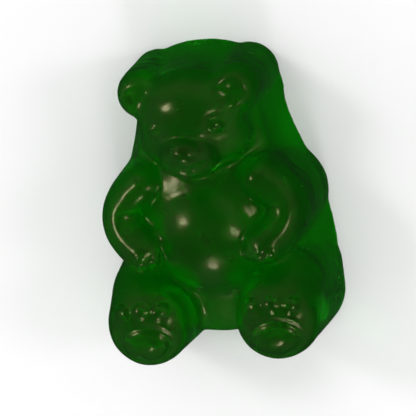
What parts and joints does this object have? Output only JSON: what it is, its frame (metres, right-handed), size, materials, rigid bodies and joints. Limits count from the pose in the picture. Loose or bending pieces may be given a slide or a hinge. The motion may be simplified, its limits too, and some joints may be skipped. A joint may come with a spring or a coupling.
{
  "type": "gummy bear",
  "caption": "Small glossy translucent green bear-shaped jelly sweet with moulded face, ears, folded arms and feet, lying on its flat back.",
  "frame": {"origin": "middle of the flat back's bounding box, on the surface that the bear lies on", "axes": "+Z out of the face and belly, +Y from the feet towards the ears, +X towards the right of someone looking at the face"},
  "size_m": [0.0156, 0.021, 0.01],
  "materials": {
    "jelly": "glossy, translucent green"
  },
  "bodies": {
    "root": {"gummy_bear": "jelly"}
  },
  "joints": []
}
